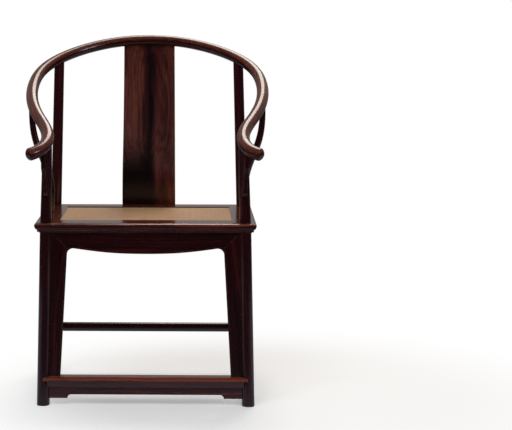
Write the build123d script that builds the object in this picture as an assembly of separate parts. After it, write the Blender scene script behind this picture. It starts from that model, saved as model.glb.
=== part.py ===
from build123d import *
from math import ceil
import os

# Horseshoe back armchair. Millimetres, +Z up, the sitter faces -Y, and "left" and "right" are as
# seen from the front (left is -X). It is drawn from the seat's middle, and at the end all of it
# moves along Y so that the origin lies on the floor under the middle of the whole chair.

os.makedirs("parts", exist_ok=True)

# ---------------------------------------------------------------- driving dimensions
# Seat frame
SEAT_WIDTH = 600.0            # across the frame's outer edges, along X
SEAT_DEPTH = 438.0            # along Y
SEAT_HEIGHT = 503.0           # floor to the top of the frame
FRAME_THICK = 27.0
LONG_RAIL_WIDTH = 75.0        # front and back rails
SIDE_RAIL_WIDTH = 68.0
EDGE_ROUND = 2.0              # top outer edge
EDGE_FLAT = 9.5               # upright part of the edge moulding, from the top
EDGE_UNDERCUT = 6.5           # how far the moulding runs back towards its foot
EDGE_BEAD = 4.0               # height of the bead along the foot of the moulding
CORNER_TENON_LENGTH = 52.0    # tenon of a long rail into a side rail
CORNER_TENON_WIDTH = 26.0
CORNER_TENON_THICK = 9.0
CORNER_TENON_DROP = 14.5      # top of the frame to the tenon's middle
CORNER_TENON_INSET = 6.0      # from the opening's corner, both ways

# Mat, webbing and the strips that hold the mat down, all in the frame's rabbet
RABBET_WIDTH = 14.0
STRIP_WIDTH = 11.0
STRIP_THICK = 2.5
MAT_THICK = 2.4
WEBBING_THICK = 3.0
SOFT_GAP = 0.3                # round the mat and the webbing

# Curved braces under the seat
BRACE_WIDTH = 30.0
BRACE_THICK = 17.0
BRACE_DROP = 14.0             # how far the middle hangs below the ends
BRACE_OFFSET = 95.0           # from the chair's middle, along X
BRACE_TENON = 15.0
BRACE_TENON_THICK = 8.0
BRACE_GAP = 1.0               # under the webbing, at the ends

# Legs: each is one piece, round outside and square inside below the seat, round above it
LEG_INSET_FRONT = 31.0        # frame edge to the front leg's axis, along X
LEG_INSET_REAR = 27.0
LEG_INSET_DEPTH = 25.0        # frame edge to the legs' axes, along Y
SPLAY_FRONT_X = 11.5          # how much further out the foot stands than the seat end
SPLAY_FRONT_Y = 11.5
SPLAY_REAR_X = 17.5
SPLAY_REAR_Y = 5.0
FOOT_DIA = 34.5
LEG_TOP_DIA = 32.0            # just under the frame
POST_SEAT_DIA = 31.0          # where a post leaves the frame
FRONT_POST_TOP_DIA = 25.5
REAR_POST_TOP_DIA = 28.5
POST_TENON_DIA = 14.0         # round tenons of the posts into the crest rail
POST_TENON_RISE = 6.0         # how far a tenon passes the rail's middle
POST_TENON_ROOT = 28.0        # how far below the rail's middle it starts, inside the post

# Crest rail: a horseshoe drawn in plan and laid on one sloping plane
RAIL_HALF_WIDTH = 323.0       # middle plane to the rail's centreline at its widest
RAIL_BACK = 288.5             # seat's middle to the centreline at the back
RAIL_FRONT = 269.0            # seat's middle to the grips' end centres
RAIL_BACK_HEIGHT = 983.0      # centreline at the back
RAIL_TIP_HEIGHT = 693.5       # centreline at the grips' ends
RAIL_LAP = 80.0               # length of each half-lapped joint
RAIL_JOINT_INNER = 205.0      # along the rail, from its middle to a joint's middle
RAIL_JOINT_OUTER = 392.0
WEDGE_HEAD = 8.0              # square taper wedge through each joint
WEDGE_TAIL = 6.5
GRIP_DOME = 11.0              # how far the rounded ends of the grips stand out
GRIP_RIM = 2.0                # upright part of the dome's side
GRIP_SHOULDER = 5.0           # rounding between side and crown
GRIP_LEDGE = 0.3              # from a grip's end edge to its dome
FRONT_POST_AT = 205.0         # seat's middle forward to where the front posts meet the rail
REAR_POST_AT = 187.0          # seat's middle back to where the rear posts meet the rail

# Splat
SPLAT_WIDTH_FOOT = 156.0
SPLAT_WIDTH_TOP = 149.0
SPLAT_THICK = 10.5
SPLAT_FOOT_INSET = 17.0       # back edge of the frame to the middle of the splat's foot
SPLAT_TOP_SETBACK = 5.0       # how far the splat's top stands behind the rail's centre
SPLAT_TONGUE = 6.0            # thickness of the tongues at both ends
SPLAT_TONGUE_DEPTH = 12.0

# S-shaped side posts
SIDE_POST_AT = 4.5            # seat's middle forward to the side posts
SIDE_POST_INSET = 23.0        # frame edge to a side post's foot
SIDE_POST_FOOT_DIA = 25.0
SIDE_POST_TOP_DIA = 15.0
SIDE_POST_TENON_DIA = 10.0
SIDE_POST_TENON = 20.0

# Spandrels under the grips
SPANDREL_THICK = 11.0
SPANDREL_HEIGHT = 151.0       # below the rail's centreline at the post
SPANDREL_REACH_TOP = 47.0     # from the post's axis to the front edge, at the top
SPANDREL_REACH_FOOT = 34.0
SPANDREL_ROUND = 12.0         # its lower corner
SPANDREL_TURN = 12.0          # degrees outwards from straight ahead

# Aprons and uprights between the legs, under the frame
APRON_THICK = 10.0
APRON_HEIGHT = 43.5           # at the high points beside the corners
APRON_BELLY = 15.0            # how much deeper the apron hangs in its middle
ARCH_RADIUS = 18.0            # corners of the arch
UPRIGHT_WIDTH_TOP = 42.0
UPRIGHT_WIDTH_FOOT = 27.5
APRON_TONGUE = 5.0            # how far the panels are let into the legs
BEAD_WIDTH = 3.2              # raised bead along the edge of an arch
BEAD_RISE = 1.2
BEAD_SETBACK = 0.8            # from the arch's edge
REAR_APRON_HEIGHT = 52.0
REAR_APRON_STEP = 18.0        # how much deeper its ends are
REAR_APRON_END = 78.0         # length of each deeper end

# Stretchers, from the floor to their centrelines
FOOTREST_HEIGHT = 66.0
FOOTREST_THICK = 30.0
FOOTREST_DEPTH = 42.0
FOOTREST_ROUND = 12.5
SIDE_STRETCHER_HEIGHT = 98.0
BACK_STRETCHER_HEIGHT = 135.5
STRETCHER_THICK = 27.0
STRETCHER_WIDTH = 23.0
STRETCHER_TENON = 17.0        # past the leg's inner face
STRETCHER_TENON_HEIGHT = 16.0
STRETCHER_TENON_THICK = 9.0
STRETCHER_TENON_ROOT = 7.0    # how far a tenon starts inside its own bar
LOW_APRON_THICK = 9.0
LOW_APRON_HEIGHT = 21.0       # below the stretcher
LOW_APRON_STEP = 10.5         # how much deeper its ends are
LOW_APRON_END = 49.0          # length of each deeper end
LOW_APRON_RISE = 11.0         # length of the curve from an end up to the middle

# Shape ratios. Crest rail in plan: (share of the half width, share of the way from the
# grips' ends to the back), from the back's middle round to the right-hand grip.
RAIL_PLAN = [(0.0, 1.0), (0.275, 0.982), (0.533, 0.927), (0.759, 0.841), (0.926, 0.727),
             (0.996, 0.588), (0.988, 0.445), (0.914, 0.306), (0.822, 0.174), (0.813, 0.104),
             (0.848, 0.046), (0.938, 0.0)]
# Rail section: (share of the way from the middle to a grip's end, width, height)
RAIL_SECTIONS = [(0.0, 30.0, 29.0), (0.35, 31.0, 30.0), (0.6, 33.0, 29.5), (0.78, 34.0, 27.0),
                 (0.9, 34.5, 31.0), (1.0, 34.5, 34.5)]
# Splat's centreline seen from the side: (share of the height, share of the way back)
SPLAT_CURVE = [(0.0, 0.0), (0.102, -0.065), (0.205, -0.015), (0.309, 0.234), (0.413, 0.478),
               (0.517, 0.654), (0.62, 0.784), (0.724, 0.891), (0.828, 0.967), (1.0, 1.0)]
# Side post's centreline seen from the front: (share of the height, share of the way out)
SIDE_POST_CURVE = [(0.0, 0.0), (0.17, -0.11), (0.33, 0.0), (0.47, 0.34), (0.6, 0.73),
                   (0.73, 0.95), (0.88, 1.02), (1.0, 1.0)]
# Belly of an apron: (share of the half span from the high point, share of the belly)
BELLY_CURVE = [(0.25, 0.45), (0.5, 0.79), (1.0, 1.0), (1.5, 0.79), (1.75, 0.45)]
# Spandrel's front edge: (share of the way down, share of the way in to its reach at the foot)
SPANDREL_CURVE = [(0.485, 0.0), (0.583, 0.421), (0.675, 0.66), (0.775, 0.795), (0.874, 1.0)]
# Seat moulding: the middle point of its curve, as shares of the undercut and of the height
EDGE_SWELL = (0.28, 0.56)
QUARTER = 1 - 0.5 ** 0.5      # middle of a quarter arc, from its corner, as a share of its radius
RAIL_STEP = 45.0              # distance between the sections of the crest rail
SIDE_POST_STEP = 30.0
SPAN = 2000.0                 # larger than the chair, for the cutting solids

# ---------------------------------------------------------------- derived places
FRAME_UNDER = SEAT_HEIGHT - FRAME_THICK
HALF_WIDTH = SEAT_WIDTH / 2
HALF_DEPTH = SEAT_DEPTH / 2
OPENING_X = HALF_WIDTH - SIDE_RAIL_WIDTH
OPENING_Y = HALF_DEPTH - LONG_RAIL_WIDTH
RABBET_DEPTH = STRIP_THICK + MAT_THICK + WEBBING_THICK + 3 * SOFT_GAP

parts = {}


def between(low, high, share):
    return low + (high - low) * share


def lookup(table, share):
    """Row values at a share, straight between the table's rows."""
    for first, second in zip(table, table[1:]):
        if share <= second[0]:
            t = (share - first[0]) / (second[0] - first[0])
            return [between(a, b, t) for a, b in zip(first[1:], second[1:])]
    return list(table[-1][1:])


def mirrored(shape):
    return mirror(shape, about=Plane.YZ)


def add_pair(name, shape):
    parts[name + "_right"] = shape
    parts[name + "_left"] = mirrored(shape)


# ---------------------------------------------------------------- crest rail
def rail_point(share_x, share_y):
    """A point of the rail's centreline: the plan laid on the sloping plane."""
    return Vector(share_x * RAIL_HALF_WIDTH,
                  between(-RAIL_FRONT, RAIL_BACK, share_y),
                  between(RAIL_TIP_HEIGHT, RAIL_BACK_HEIGHT, share_y))


RAIL_RIGHT = [rail_point(x, y) for x, y in RAIL_PLAN]
RAIL_LEFT = [Vector(-p.X, p.Y, p.Z) for p in RAIL_RIGHT[:0:-1]]
RAIL_PATH = Edge.make_spline(RAIL_LEFT + RAIL_RIGHT)
RAIL_HALF_LENGTH = RAIL_PATH.length / 2
RAIL_SLOPE = Vector(0, RAIL_BACK + RAIL_FRONT, RAIL_BACK_HEIGHT - RAIL_TIP_HEIGHT)
RAIL_NORMAL = Vector(1, 0, 0).cross(RAIL_SLOPE).normalized()
RAIL_PLANE = Plane(origin=RAIL_RIGHT[0], x_dir=(1, 0, 0), z_dir=RAIL_NORMAL)


def rail_frame(distance):
    """Plane square to the rail, at a distance along it from its middle."""
    share = 0.5 + distance / (2 * RAIL_HALF_LENGTH)
    tangent = RAIL_PATH.tangent_at(share)
    return Plane(origin=RAIL_PATH.position_at(share),
                 x_dir=RAIL_NORMAL.cross(tangent), z_dir=tangent)


def rail_section(distance):
    width, height = lookup(RAIL_SECTIONS, abs(distance) / RAIL_HALF_LENGTH)
    return rail_frame(distance) * Ellipse(width / 2, height / 2)


def rail_length(start, end):
    """A length of the rail between two distances from its middle."""
    steps = max(2, ceil((end - start) / RAIL_STEP))
    return loft([rail_section(between(start, end, i / steps)) for i in range(steps + 1)])


def rail_at(y):
    """Point of the right-hand centreline at a given y, found by halving."""
    low, high = 0.5, 1.0
    for _ in range(40):
        middle = (low + high) / 2
        if RAIL_PATH.position_at(middle).Y > y:
            low = middle
        else:
            high = middle
    return RAIL_PATH.position_at(low)


UPPER_HALF = RAIL_PLANE * Pos(0, 0, SPAN / 2) * Box(SPAN, SPAN, SPAN)


def half_lap(middle):
    """A joint's lap as its lower and upper halves and its wedge, all flush with the rail."""
    lap = rail_length(middle - RAIL_LAP / 2, middle + RAIL_LAP / 2)
    width = lookup(RAIL_SECTIONS, middle / RAIL_HALF_LENGTH)[0]
    across = rail_frame(middle)
    ends = [Plane(origin=across.origin + across.x_dir * side * width, x_dir=across.z_dir,
                  z_dir=across.x_dir) * Rectangle(size, size)
            for side, size in ((-1, WEDGE_TAIL), (1, WEDGE_HEAD))]
    peg = loft(ends)
    return lap - UPPER_HALF - peg, (lap & UPPER_HALF) - peg, lap & peg


inner_low, inner_high, inner_wedge = half_lap(RAIL_JOINT_INNER)
outer_low, outer_high, outer_wedge = half_lap(RAIL_JOINT_OUTER)
inner_start = RAIL_JOINT_INNER - RAIL_LAP / 2
crest_centre = rail_length(-inner_start, inner_start) + inner_low + mirrored(inner_low)
crest_shoulder = rail_length(inner_start + RAIL_LAP, RAIL_JOINT_OUTER - RAIL_LAP / 2)
crest_shoulder = crest_shoulder + inner_high + outer_low
dome_radius = RAIL_SECTIONS[-1][1] / 2 - GRIP_LEDGE
dome_outline = [TangentArc((0, GRIP_DOME), (dome_radius, GRIP_RIM), tangent=(1, 0)),
                Polyline((dome_radius, GRIP_RIM), (dome_radius, 0), (0, 0), (0, GRIP_DOME))]
dome_half = make_face([line.edges() for line in dome_outline])
dome_shoulder = dome_half.vertices().group_by(Axis.X)[-1].sort_by(Axis.Y)[-1]
dome_half = fillet(dome_shoulder, GRIP_SHOULDER)
grip_end = rail_frame(RAIL_HALF_LENGTH) * revolve(Plane.XZ * dome_half, Axis.Z)
arm_rail = rail_length(RAIL_JOINT_OUTER + RAIL_LAP / 2, RAIL_HALF_LENGTH) + outer_high + grip_end


# ---------------------------------------------------------------- legs
FRONT_TOP = rail_at(-FRONT_POST_AT)
REAR_TOP = rail_at(REAR_POST_AT)


def front_axis(z):
    """Front right leg's axis below the seat's top."""
    out = 1 - z / SEAT_HEIGHT
    return Vector(HALF_WIDTH - LEG_INSET_FRONT + SPLAY_FRONT_X * out,
                  -(HALF_DEPTH - LEG_INSET_DEPTH + SPLAY_FRONT_Y * out), z)


def rear_axis(z):
    out = 1 - z / SEAT_HEIGHT
    return Vector(HALF_WIDTH - LEG_INSET_REAR + SPLAY_REAR_X * out,
                  HALF_DEPTH - LEG_INSET_DEPTH + SPLAY_REAR_Y * out, z)


def leg_radius(z):
    return between(FOOT_DIA, LEG_TOP_DIA, z / FRAME_UNDER) / 2


def leg_section(axis, z, inward):
    """Round section with a square inner corner; inward is +1 where the chair lies at +Y."""
    r = leg_radius(z)
    corner = Polyline((-r, 0), (-r, inward * r), (0, inward * r))
    middle = r * (1 - QUARTER)
    rounding = ThreePointArc((0, inward * r), (middle, -inward * middle), (-r, 0))
    face = make_face([corner.edges(), rounding.edges()])
    return Plane(origin=axis(z)) * face


def post(points, start_dia, end_dia):
    """Round post through level sections at the given centres."""
    low, high = points[0].Z, points[-1].Z
    rings = []
    for p in points:
        dia = between(start_dia, end_dia, (p.Z - low) / (high - low))
        rings.append(Plane(origin=p) * Circle(dia / 2))
    return loft(rings)


def front_post_centre(share):
    """Front post's axis above the seat: straight in front view, bowed forward from the side."""
    foot = front_axis(SEAT_HEIGHT)
    return Vector(between(foot.X, FRONT_TOP.X, share),
                  between(foot.Y, FRONT_TOP.Y, share ** 2),
                  between(foot.Z, FRONT_TOP.Z, share))


def rail_tenon(top):
    """Round tenon of a post into the rail."""
    low = top.Z - POST_TENON_ROOT
    height = top.Z + POST_TENON_RISE - low
    return Pos(top.X, top.Y, low + height / 2) * Cylinder(POST_TENON_DIA / 2, height)


front_lower = loft([leg_section(front_axis, z, 1) for z in (0, FRAME_UNDER)], ruled=True)
rear_lower = loft([leg_section(rear_axis, z, -1) for z in (0, FRAME_UNDER)], ruled=True)
front_through = post([front_axis(FRAME_UNDER), front_axis(SEAT_HEIGHT)],
                     POST_SEAT_DIA, POST_SEAT_DIA)
rear_through = post([rear_axis(FRAME_UNDER), rear_axis(SEAT_HEIGHT)],
                    POST_SEAT_DIA, POST_SEAT_DIA)
front_post = post([front_post_centre(i / 4) for i in range(5)], POST_SEAT_DIA, FRONT_POST_TOP_DIA)
rear_post = post([rear_axis(SEAT_HEIGHT), REAR_TOP], POST_SEAT_DIA, REAR_POST_TOP_DIA)
front_tenon = rail_tenon(FRONT_TOP)
rear_tenon = rail_tenon(REAR_TOP)
front_leg = front_lower + front_through + (front_post - arm_rail) + front_tenon
rear_leg = rear_lower + rear_through + (rear_post - crest_shoulder) + rear_tenon


# ---------------------------------------------------------------- seat frame
def edge_profile(width):
    """Section of a frame rail: u runs inwards from the outer edge, v up from the frame's top."""
    foot = FRAME_THICK - EDGE_BEAD
    bead_back = EDGE_UNDERCUT + EDGE_BEAD / 4
    corner = EDGE_ROUND * QUARTER
    swell = (EDGE_UNDERCUT * EDGE_SWELL[0], -between(EDGE_FLAT, foot, EDGE_SWELL[1]))
    lines = [
        ThreePointArc((0, -EDGE_ROUND), (corner, -corner), (EDGE_ROUND, 0)),
        Line((0, -EDGE_ROUND), (0, -EDGE_FLAT)),
        ThreePointArc((0, -EDGE_FLAT), swell, (EDGE_UNDERCUT, -foot)),
        Line((EDGE_UNDERCUT, -foot), (bead_back, -foot)),
        ThreePointArc((bead_back, -foot), (bead_back - EDGE_BEAD / 2, -foot - EDGE_BEAD / 2),
                      (bead_back, -FRAME_THICK)),
        Polyline((bead_back, -FRAME_THICK), (width, -FRAME_THICK), (width, -RABBET_DEPTH),
                 (width - RABBET_WIDTH, -RABBET_DEPTH), (width - RABBET_WIDTH, 0),
                 (EDGE_ROUND, 0)),
    ]
    return make_face([line.edges() for line in lines])


def plan_prism(corners, low, high):
    return Pos(0, 0, low) * extrude(make_face(Polyline(*corners, close=True).edges()),
                                    amount=high - low)


OUTER = (HALF_WIDTH, HALF_DEPTH)
INNER = (OPENING_X, OPENING_Y)
front_bar_plane = Plane(origin=(-HALF_WIDTH, -HALF_DEPTH, SEAT_HEIGHT), x_dir=(0, 1, 0),
                        z_dir=(1, 0, 0))
side_bar_plane = Plane(origin=(HALF_WIDTH, -HALF_DEPTH, SEAT_HEIGHT), x_dir=(-1, 0, 0),
                       z_dir=(0, 1, 0))
front_bar = extrude(front_bar_plane * edge_profile(LONG_RAIL_WIDTH), amount=SEAT_WIDTH)
side_bar = extrude(side_bar_plane * edge_profile(SIDE_RAIL_WIDTH), amount=SEAT_DEPTH)
front_mitre = plan_prism([(-OUTER[0], -OUTER[1]), (OUTER[0], -OUTER[1]), (INNER[0], -INNER[1]),
                          (-INNER[0], -INNER[1])], 0, SEAT_HEIGHT)
side_mitre = plan_prism([(OUTER[0], -OUTER[1]), OUTER, INNER, (INNER[0], -INNER[1])],
                        0, SEAT_HEIGHT)
corner_tenon = Pos(OPENING_X - CORNER_TENON_INSET + CORNER_TENON_LENGTH / 2,
                   -OPENING_Y - CORNER_TENON_INSET - CORNER_TENON_WIDTH / 2,
                   SEAT_HEIGHT - CORNER_TENON_DROP) \
    * Box(CORNER_TENON_LENGTH, CORNER_TENON_WIDTH, CORNER_TENON_THICK)
seat_front = (front_bar & front_mitre) + corner_tenon + mirrored(corner_tenon)
seat_front = seat_front - front_through - mirrored(front_through)
seat_back = mirror((front_bar & front_mitre) + corner_tenon + mirrored(corner_tenon),
                   about=Plane.XZ)
seat_back = seat_back - rear_through - mirrored(rear_through)
seat_side = (side_bar & side_mitre) - corner_tenon - mirror(corner_tenon, about=Plane.XZ)
seat_side = seat_side - front_through - rear_through


# ---------------------------------------------------------------- mat, webbing and strips
def rabbet_slab(thick, top, grow):
    """Sheet that fills the opening and part of the rabbet."""
    return Pos(0, 0, top - thick / 2) * Box(2 * (OPENING_X + grow), 2 * (OPENING_Y + grow), thick)


MAT_TOP = SEAT_HEIGHT - STRIP_THICK - SOFT_GAP
WEBBING_TOP = MAT_TOP - MAT_THICK - SOFT_GAP
parts["seat_mat"] = rabbet_slab(MAT_THICK, MAT_TOP, RABBET_WIDTH - SOFT_GAP)
parts["seat_webbing"] = rabbet_slab(WEBBING_THICK, WEBBING_TOP, RABBET_WIDTH - SOFT_GAP)

strip_out = (OPENING_X + RABBET_WIDTH, OPENING_Y + RABBET_WIDTH)
strip_in = (strip_out[0] - STRIP_WIDTH, strip_out[1] - STRIP_WIDTH)
front_strip = plan_prism([(-strip_out[0], -strip_out[1]), (strip_out[0], -strip_out[1]),
                          (strip_in[0], -strip_in[1]), (-strip_in[0], -strip_in[1])],
                         SEAT_HEIGHT - STRIP_THICK, SEAT_HEIGHT)
parts["mat_strip_front"] = front_strip
parts["mat_strip_back"] = mirror(front_strip, about=Plane.XZ)
add_pair("mat_strip", plan_prism([(strip_out[0], -strip_out[1]), strip_out, strip_in,
                                  (strip_in[0], -strip_in[1])],
                                 SEAT_HEIGHT - STRIP_THICK, SEAT_HEIGHT))

# Braces: an arc seen from the side, hung between the long rails
brace_top = SEAT_HEIGHT - RABBET_DEPTH - BRACE_GAP
brace_outline = [ThreePointArc((-OPENING_Y, brace_top), (0, brace_top - BRACE_DROP),
                               (OPENING_Y, brace_top)),
                 Line((OPENING_Y, brace_top), (OPENING_Y, brace_top - BRACE_THICK)),
                 ThreePointArc((OPENING_Y, brace_top - BRACE_THICK),
                               (0, brace_top - BRACE_THICK - BRACE_DROP),
                               (-OPENING_Y, brace_top - BRACE_THICK)),
                 Line((-OPENING_Y, brace_top - BRACE_THICK), (-OPENING_Y, brace_top))]
brace_face = Plane.YZ * make_face([line.edges() for line in brace_outline])
brace = Pos(BRACE_OFFSET, 0, 0) * extrude(brace_face, amount=BRACE_WIDTH / 2, both=True)
brace_tenon = Pos(BRACE_OFFSET, -OPENING_Y, brace_top - BRACE_THICK / 2) \
    * Box(BRACE_WIDTH, 2 * BRACE_TENON, BRACE_TENON_THICK)
front_mortise = brace_tenon - plan_prism([(-SPAN, -OPENING_Y), (SPAN, -OPENING_Y),
                                          (SPAN, SPAN), (-SPAN, SPAN)], 0, SPAN)
back_mortise = mirror(front_mortise, about=Plane.XZ)
brace = brace + front_mortise + back_mortise
add_pair("seat_brace", brace)
seat_front = seat_front - front_mortise - mirrored(front_mortise)
seat_back = seat_back - back_mortise - mirrored(back_mortise)


# ---------------------------------------------------------------- panels between two legs
def panel_plane(first, second, top, foot):
    """Plane through two leg axes: x runs from the first to the second, y runs up."""
    low = (first(foot) + second(foot)) / 2
    high = (first(top) + second(top)) / 2
    across = (second(top) - first(top)).normalized()
    return Plane(origin=high, x_dir=across, z_dir=across.cross(high - low))


def mirror_axis(axis):
    def other(z):
        p = axis(z)
        return Vector(-p.X, p.Y, p.Z)
    return other


def panel_edge(plane, axis, z, side, let_in):
    """Point on a leg's inner face, let into the leg by a given depth, in the panel's plane."""
    p = plane.to_local_coords(axis(z))
    return (p.X - side * (leg_radius(z) - let_in), p.Y)


def slab(plane, outline, thick):
    face = make_face([line.edges() for line in outline])
    return extrude(plane * face, amount=thick / 2, both=True)


above_legs = Pos(0, 0, FRAME_UNDER + SPAN / 2) * Box(SPAN, SPAN, SPAN)


def arch_panel(first, second, foot):
    """Apron and two uprights that frame an arch between two legs, mitred at its corners."""
    top = FRAME_UNDER
    plane = panel_plane(first, second, top, foot)
    corners = [panel_edge(plane, axis, z, side, APRON_TONGUE)
               for axis, side, z in ((first, -1, top), (second, 1, top),
                                     (second, 1, foot), (first, -1, foot))]
    corners[:2] = [(x, APRON_TONGUE) for x, _ in corners[:2]]
    outer = Polyline(*corners, close=True)
    whole = slab(plane, [outer], APRON_THICK) - above_legs
    spring = -APRON_HEIGHT - ARCH_RADIUS
    face_l = panel_edge(plane, first, top + spring, -1, 0)[0]
    face_r = panel_edge(plane, second, top + spring, 1, 0)[0]
    foot_l = panel_edge(plane, first, foot, -1, 0)[0] + UPRIGHT_WIDTH_FOOT
    foot_r = panel_edge(plane, second, foot, 1, 0)[0] - UPRIGHT_WIDTH_FOOT
    left, right = face_l + UPRIGHT_WIDTH_TOP, face_r - UPRIGHT_WIDTH_TOP
    peak_l, peak_r = left + ARCH_RADIUS, right - ARCH_RADIUS
    half_span = (peak_r - peak_l) / 2
    base = plane.to_local_coords((first(foot) + second(foot)) / 2).Y - ARCH_RADIUS

    def opening(grow):
        """The arch's opening with its edge moved outwards all round."""
        low, high, l, r = spring, grow - APRON_HEIGHT, left - grow, right + grow
        turn = (ARCH_RADIUS + grow) * QUARTER
        belly = [(peak_l, high),
                 *((peak_l + half_span * x, high - APRON_BELLY * y) for x, y in BELLY_CURVE),
                 (peak_r, high)]
        lines = [Line((foot_l - grow, base), (l, low)),
                 ThreePointArc((l, low), (l + turn, high - turn), (peak_l, high)),
                 Spline(*belly),
                 ThreePointArc((peak_r, high), (r - turn, high - turn), (r, low)),
                 Polyline((r, low), (foot_r + grow, base), (foot_l - grow, base))]
        return make_face([line.edges() for line in lines])

    turn = ARCH_RADIUS * QUARTER
    rim = opening(BEAD_SETBACK + BEAD_WIDTH) - opening(BEAD_SETBACK)
    bead = extrude(plane.offset(APRON_THICK / 2) * rim, amount=BEAD_RISE)
    bead = bead & slab(plane, [outer], APRON_THICK * 2)
    frame = whole - extrude(plane * opening(0), amount=APRON_THICK, both=True)
    blocks = []
    for corner, elbow, side in ((corners[0][0], left + turn, -1), (corners[1][0], right - turn, 1)):
        outline = Polyline((corner + side * ARCH_RADIUS, APRON_TONGUE), (corner, APRON_TONGUE),
                           (elbow, -APRON_HEIGHT - turn), (elbow, base),
                           (corner + side * 2 * ARCH_RADIUS, base), close=True)
        blocks.append(slab(plane, [outline], APRON_THICK * 2))
    apron = (frame - blocks[0] - blocks[1]) + (bead - blocks[0] - blocks[1])
    return apron, *((frame & block) + (bead & block) for block in blocks)


def stepped_apron(first, second, top, height, step, end, thick, rise):
    """Apron whose ends are deeper than its middle, between two legs."""
    foot = top - height - step
    plane = panel_plane(first, second, top, foot)
    top_l, top_r = (panel_edge(plane, axis, top, side, APRON_TONGUE)
                    for axis, side in ((first, -1), (second, 1)))
    foot_l, foot_r = (panel_edge(plane, axis, foot, side, APRON_TONGUE)
                      for axis, side in ((first, -1), (second, 1)))
    end_l, end_r = foot_l[0] + APRON_TONGUE + end, foot_r[0] - APRON_TONGUE - end
    low = foot_l[1]
    high = low + step
    mid_x, mid_y = rise * QUARTER, high - step * QUARTER
    outline = [Polyline((end_l, low), foot_l, top_l, top_r, foot_r, (end_r, low)),
               ThreePointArc((end_l, low), (end_l + mid_x, mid_y), (end_l + rise, high)),
               Line((end_l + rise, high), (end_r - rise, high)),
               ThreePointArc((end_r - rise, high), (end_r - mid_x, mid_y), (end_r, low))]
    return slab(plane, outline, thick)


front_left_axis = mirror_axis(front_axis)
rear_left_axis = mirror_axis(rear_axis)


# ---------------------------------------------------------------- stretchers and footrest
def level_bar(first, second, height, section):
    """Bar from one leg axis to another at a height, with an upright section."""
    start, end = first(height), second(height)
    along = (end - start).normalized()
    plane = Plane(origin=start, x_dir=along.cross(Vector(0, 0, 1)), z_dir=along)
    return extrude(plane * section, amount=(end - start).length)


def bar_tenons(first, second, height):
    """Tenons at both ends of a level bar: one from each leg's axis to past its inner face."""
    start, end = first(height), second(height)
    along = (end - start).normalized()
    inside = leg_radius(height) - STRETCHER_TENON
    tenons = []
    for origin, direction in ((start, along), (end, along * -1)):
        plane = Plane(origin=origin + direction * inside, z_dir=direction,
                      x_dir=direction.cross(Vector(0, 0, 1)))
        section = plane * Rectangle(STRETCHER_TENON_THICK, STRETCHER_TENON_HEIGHT)
        tenons.append(extrude(section, amount=STRETCHER_TENON + STRETCHER_TENON_ROOT))
    return tenons


oval = SlotOverall(STRETCHER_THICK, STRETCHER_WIDTH, rotation=90)
tread = RectangleRounded(FOOTREST_DEPTH, FOOTREST_THICK, FOOTREST_ROUND)
side_tenons = bar_tenons(front_axis, rear_axis, SIDE_STRETCHER_HEIGHT)
back_tenons = bar_tenons(rear_left_axis, rear_axis, BACK_STRETCHER_HEIGHT)
foot_tenons = bar_tenons(front_left_axis, front_axis, FOOTREST_HEIGHT)

side_stretcher = level_bar(front_axis, rear_axis, SIDE_STRETCHER_HEIGHT, oval)
side_stretcher = side_stretcher - front_lower - rear_lower + side_tenons
back_stretcher = level_bar(rear_left_axis, rear_axis, BACK_STRETCHER_HEIGHT, oval)
back_stretcher = back_stretcher - rear_lower - mirrored(rear_lower) + back_tenons
footrest_forward = FOOTREST_DEPTH / 2 - leg_radius(FOOTREST_HEIGHT)
footrest = Pos(0, -footrest_forward, 0) * level_bar(front_left_axis, front_axis,
                                                    FOOTREST_HEIGHT, tread)
footrest = footrest - front_lower - mirrored(front_lower) + foot_tenons

front_apron, front_upright_l, front_upright_r = arch_panel(front_left_axis, front_axis,
                                                           FOOTREST_HEIGHT)
side_apron, side_upright_f, side_upright_b = arch_panel(front_axis, rear_axis,
                                                        SIDE_STRETCHER_HEIGHT)
rear_apron = stepped_apron(rear_left_axis, rear_axis, FRAME_UNDER, REAR_APRON_HEIGHT,
                           REAR_APRON_STEP, REAR_APRON_END, APRON_THICK, REAR_APRON_STEP)
rear_apron = rear_apron - above_legs
low_height = LOW_APRON_HEIGHT + STRETCHER_THICK / 2
side_low_apron = stepped_apron(front_axis, rear_axis, SIDE_STRETCHER_HEIGHT, low_height,
                               LOW_APRON_STEP, LOW_APRON_END, LOW_APRON_THICK, LOW_APRON_RISE)
foot_low_apron = stepped_apron(front_left_axis, front_axis, FOOTREST_HEIGHT,
                               LOW_APRON_HEIGHT + FOOTREST_THICK / 2, LOW_APRON_STEP,
                               LOW_APRON_END, LOW_APRON_THICK, LOW_APRON_RISE)
side_low_apron = side_low_apron - side_stretcher
footrest = footrest - side_low_apron - mirrored(side_low_apron)
foot_low_apron = foot_low_apron - footrest
side_upright_f = side_upright_f - side_stretcher
side_upright_b = side_upright_b - side_stretcher
front_upright_r = front_upright_r - footrest
front_upright_l = front_upright_l - footrest

# Grooves and mortises in the legs
front_leg = front_leg - front_apron - front_upright_r - side_apron - side_upright_f
front_leg = front_leg - side_low_apron - foot_low_apron - side_tenons[0] - foot_tenons[1]
rear_leg = rear_leg - rear_apron - side_apron - side_upright_b - side_low_apron
rear_leg = rear_leg - side_tenons[1] - back_tenons[1]


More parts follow.
